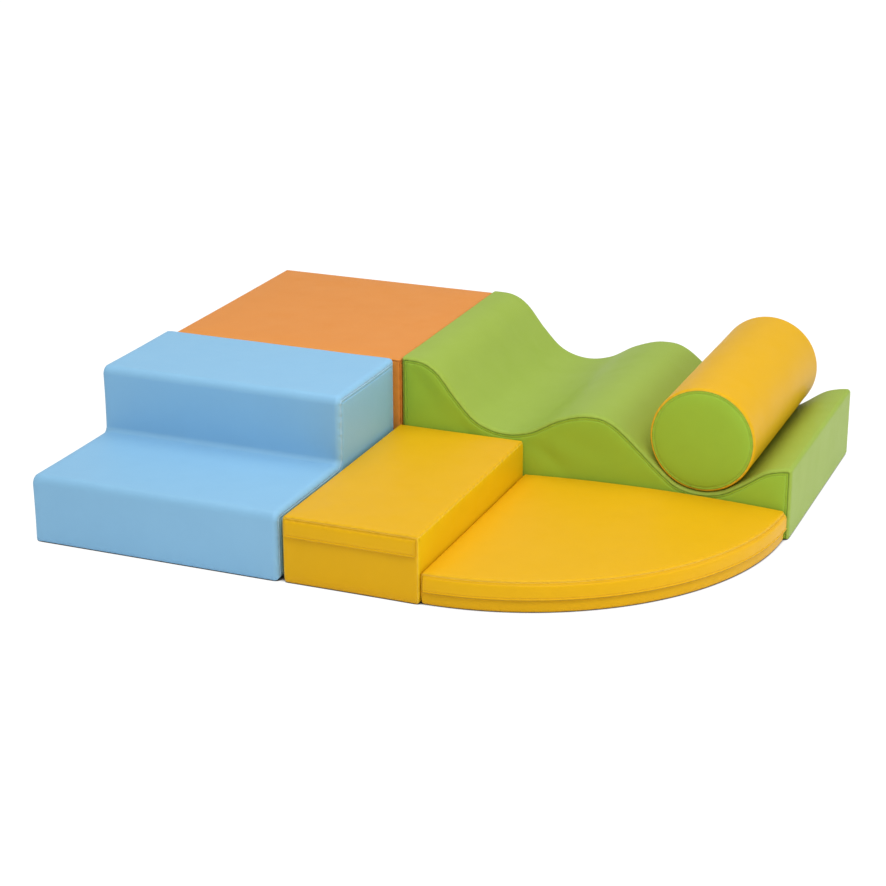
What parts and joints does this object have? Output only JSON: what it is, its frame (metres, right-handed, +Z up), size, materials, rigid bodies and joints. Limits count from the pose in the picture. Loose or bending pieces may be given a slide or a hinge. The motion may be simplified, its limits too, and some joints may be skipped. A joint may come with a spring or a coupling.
{
  "type": "soft play foam climber",
  "caption": "Soft play climbing set for toddlers: foam shapes in sewn leatherette covers - stair, platform, wave with a loose roller, low pad and quarter-round mat.",
  "frame": {"origin": "on the floor, at the middle of the whole set's footprint", "axes": "+X from the stair and platform towards the wave's low end, +Y from the stair, pad and mat towards the platform and wave, +Z up"},
  "size_m": [1.4964, 1.1928, 0.3149],
  "materials": {
    "sky_blue": "smooth PVC leatherette with a fine grain, satin sheen",
    "orange": "smooth PVC leatherette with a fine grain, satin sheen",
    "leaf_green": "smooth PVC leatherette with a fine grain, satin sheen",
    "yellow": "smooth PVC leatherette with a fine grain, satin sheen",
    "sole_black": "dotted grip cloth, matt",
    "foam_cream": "open-cell upholstery foam",
    "zip_tape": "woven polyester tape with a moulded chain",
    "zip_metal": "plated die-cast zinc"
  },
  "bodies": {
    "wave": {"wave_back": "leaf_green", "wave_foam": "foam_cream", "wave_front": "leaf_green", "wave_sole": "sole_black", "wave_wrap": "leaf_green", "wave_zip": "zip_tape"},
    "wave_pull": {"wave_pull": "zip_metal"},
    "wave_slider": {"wave_slider": "zip_metal"},
    "roller": {"roller_back_disc": "leaf_green", "roller_foam": "foam_cream", "roller_front_disc": "leaf_green", "roller_tube": "yellow", "roller_zip": "zip_tape"},
    "roller_pull": {"roller_pull": "zip_metal"},
    "roller_slider": {"roller_slider": "zip_metal"},
    "block": {"block_back": "orange", "block_foam": "foam_cream", "block_front": "orange", "block_left": "orange", "block_right": "orange", "block_sole": "sole_black", "block_top": "orange", "block_zip": "zip_tape"},
    "block_pull": {"block_pull": "zip_metal"},
    "block_slider": {"block_slider": "zip_metal"},
    "stair": {"stair_left": "sky_blue", "stair_lower_foam": "foam_cream", "stair_right": "sky_blue", "stair_sole": "sole_black", "stair_upper_foam": "foam_cream", "stair_wrap": "sky_blue", "stair_zip": "zip_tape"},
    "stair_pull": {"stair_pull": "zip_metal"},
    "stair_slider": {"stair_slider": "zip_metal"},
    "pad": {"pad_back": "yellow", "pad_foam": "foam_cream", "pad_front": "yellow", "pad_left": "yellow", "pad_right": "yellow", "pad_sole": "sole_black", "pad_top": "yellow", "pad_zip": "zip_tape"},
    "pad_flap": {"pad_flap": "yellow"},
    "pad_pull": {"pad_pull": "zip_metal"},
    "pad_slider": {"pad_slider": "zip_metal"},
    "mat": {"mat_back": "yellow", "mat_flap": "yellow", "mat_foam": "foam_cream", "mat_left": "yellow", "mat_rim": "yellow", "mat_sole": "sole_black", "mat_top": "yellow", "mat_zip": "zip_tape"},
    "mat_pull": {"mat_pull": "zip_metal"},
    "mat_slider": {"mat_slider": "zip_metal"}
  },
  "joints": [
    {"name": "block_slide", "type": "slide", "parent": "wave", "child": "block", "axis": [-1, 0, 0], "range_m": [0, 0.3]},
    {"name": "stair_slide", "type": "slide", "parent": "wave", "child": "stair", "axis": [0, -1, 0], "range_m": [0, 0.3]},
    {"name": "pad_slide", "type": "slide", "parent": "wave", "child": "pad", "axis": [0, -1, 0], "range_m": [0, 0.3]},
    {"name": "mat_slide", "type": "slide", "parent": "wave", "child": "mat", "axis": [0, -1, 0], "range_m": [0, 0.3]},
    {"name": "roller_roll", "type": "hinge", "parent": "wave", "child": "roller", "pos_m": [0.54715, 0.0104, 0.199], "axis": [0, 1, 0], "continuous": true},
    {"name": "block_zip_run", "type": "slide", "parent": "block", "child": "block_slider", "axis": [-1, 0, 0], "range_m": [0, 0.442]},
    {"name": "stair_zip_run", "type": "slide", "parent": "stair", "child": "stair_slider", "axis": [0, 1, 0], "range_m": [0, 0.442]},
    {"name": "wave_zip_run", "type": "slide", "parent": "wave", "child": "wave_slider", "axis": [1, 0, 0], "range_m": [0, 0.442]},
    {"name": "pad_zip_run", "type": "slide", "parent": "pad", "child": "pad_slider", "axis": [1, 0, 0], "range_m": [0, 0.239]},
    {"name": "mat_zip_run", "type": "hinge", "parent": "mat", "child": "mat_slider", "pos_m": [0.14545, 0.0098, 0], "axis": [0, 0, 1], "range_deg": [0, 68.26]},
    {"name": "roller_zip_run", "type": "hinge", "parent": "roller", "child": "roller_slider", "pos_m": [0.54715, 0.0104, 0.199], "axis": [0, -1, 0], "range_deg": [0, 194.61]},
    {"name": "block_pull_lift", "type": "hinge", "parent": "block_slider", "child": "block_pull", "pos_m": [-0.21695, 0.59688, 0.15], "axis": [0, 0, -1], "range_deg": [0, 170]},
    {"name": "stair_pull_lift", "type": "hinge", "parent": "stair_slider", "child": "stair_pull", "pos_m": [-0.74863, -0.5112, 0.075], "axis": [0, 0, 1], "range_deg": [0, 170]},
    {"name": "wave_pull_lift", "type": "hinge", "parent": "wave_slider", "child": "wave_pull", "pos_m": [-0.06185, 0.59688, 0.058], "axis": [0, 0, 1], "range_deg": [0, 170]},
    {"name": "roller_pull_lift", "type": "hinge", "parent": "roller_slider", "child": "roller_pull", "pos_m": [0.5468, 0.59688, 0.132], "axis": [0.0053, 0, 1], "range_deg": [0, 170]},
    {"name": "pad_pull_swing", "type": "hinge", "parent": "pad_slider", "child": "pad_pull", "pos_m": [-0.12315, -0.59068, 0.1211], "axis": [0, -1, 0], "range_deg": [-12, 12]},
    {"name": "mat_pull_swing", "type": "hinge", "parent": "mat_slider", "child": "mat_pull", "pos_m": [0.25757, -0.57401, 0.04475], "axis": [0.1886, -0.9821, 0], "range_deg": [-12, 12]},
    {"name": "pad_flap_lift", "type": "hinge", "parent": "pad", "child": "pad_flap", "pos_m": [-0.00365, -0.58761, 0.142], "axis": [-1, 0, 0], "range_deg": [0, 90]}
  ]
}
